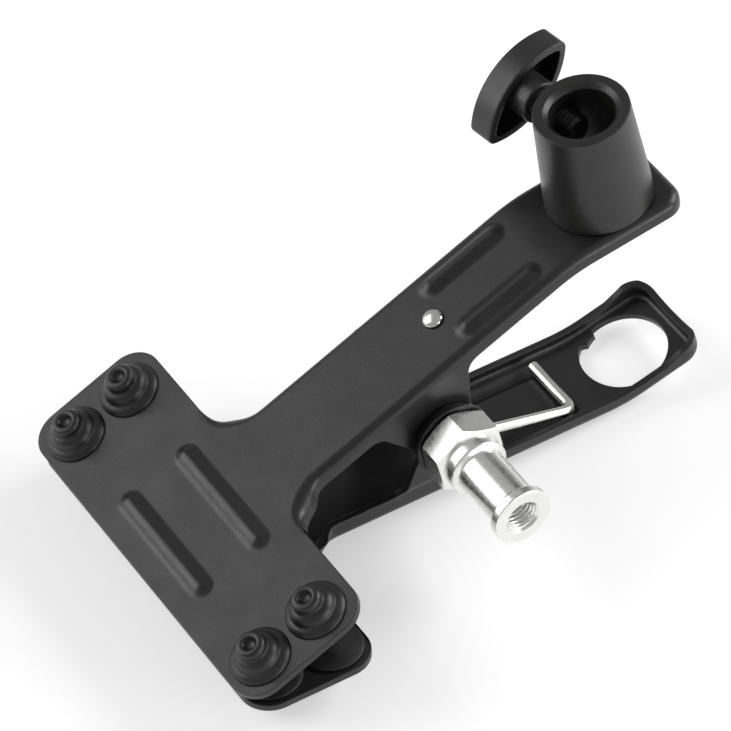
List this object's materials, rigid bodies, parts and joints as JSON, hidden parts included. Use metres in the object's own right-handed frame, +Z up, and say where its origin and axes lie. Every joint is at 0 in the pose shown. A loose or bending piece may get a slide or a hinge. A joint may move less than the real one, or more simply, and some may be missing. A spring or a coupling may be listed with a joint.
{
  "type": "stand clamp",
  "caption": "Spring clamp of two pressed levers with wide rubber-padded T jaws; a thumbscrew socket stands on one handle and a stud on the pivot.",
  "frame": {"origin": "middle of the bounding box's lower face", "axes": "+X from the jaws to the handles, +Y from the stud to the far side, +Z up towards the socket"},
  "size_m": [0.1594, 0.112, 0.0935],
  "materials": {
    "lower_lever": "black powder coat with a fine grain",
    "lower_pad_front_far": "soft black rubber with a dull sheen",
    "lower_pad_front_near": "soft black rubber with a dull sheen",
    "lower_pad_rear_far": "soft black rubber with a dull sheen",
    "lower_pad_rear_near": "soft black rubber with a dull sheen",
    "pivot_bolt": "bright zinc plate",
    "pivot_sleeve": "bright zinc plate",
    "washer_near": "black oxide",
    "washer_far": "bright zinc plate",
    "stud": "bright plating",
    "torsion_spring": "bright plated spring wire",
    "upper_lever": "black powder coat with a fine grain",
    "upper_pad_front_far": "soft black rubber with a dull sheen",
    "upper_pad_front_near": "soft black rubber with a dull sheen",
    "upper_pad_rear_far": "soft black rubber with a dull sheen",
    "upper_pad_rear_near": "soft black rubber with a dull sheen",
    "handle_rivet": "bright zinc plate",
    "spring_keeper": "bright zinc plate",
    "socket": "black coat over a casting",
    "socket_nut": "black oxide",
    "clamp_screw": "bright zinc plate",
    "knob": "satin black moulding"
  },
  "bodies": {
    "lower_half": {"lower_lever": "lower_lever", "lower_pad_front_far": "lower_pad_front_far", "lower_pad_front_near": "lower_pad_front_near", "lower_pad_rear_far": "lower_pad_rear_far", "lower_pad_rear_near": "lower_pad_rear_near", "pivot_bolt": "pivot_bolt", "pivot_sleeve": "pivot_sleeve", "washer_near": "washer_near", "washer_far": "washer_far", "stud": "stud", "torsion_spring": "torsion_spring"},
    "upper_half": {"upper_lever": "upper_lever", "upper_pad_front_far": "upper_pad_front_far", "upper_pad_front_near": "upper_pad_front_near", "upper_pad_rear_far": "upper_pad_rear_far", "upper_pad_rear_near": "upper_pad_rear_near", "handle_rivet": "handle_rivet", "spring_keeper": "spring_keeper", "socket": "socket", "socket_nut": "socket_nut"},
    "screw": {"clamp_screw": "clamp_screw"},
    "knob_turn": {"knob": "knob"}
  },
  "joints": [
    {"name": "jaw_hinge", "type": "hinge", "parent": "lower_half", "child": "upper_half", "pos_m": [0.0031, 0, 0.02489], "axis": [0, 1, 0], "range_deg": [0, 28], "stiffness_Nm_per_rad": 2, "springref_deg": -59.99, "deforming": ["torsion_spring"]},
    {"name": "screw_slide", "type": "slide", "parent": "upper_half", "child": "screw", "axis": [0.1387, -0.9903, 0.0116], "range_m": [-0.0058, 0.0038]},
    {"name": "knob_spin", "type": "hinge", "parent": "screw", "child": "knob_turn", "pos_m": [0.05939, 0, 0.08274], "axis": [0.1387, -0.9903, 0.0116], "range_deg": [-1671, 1095]}
  ],
  "couplings": [
    {"joint": "knob_spin", "follows": "screw_slide", "rad_per_m": 5026.5}
  ]
}
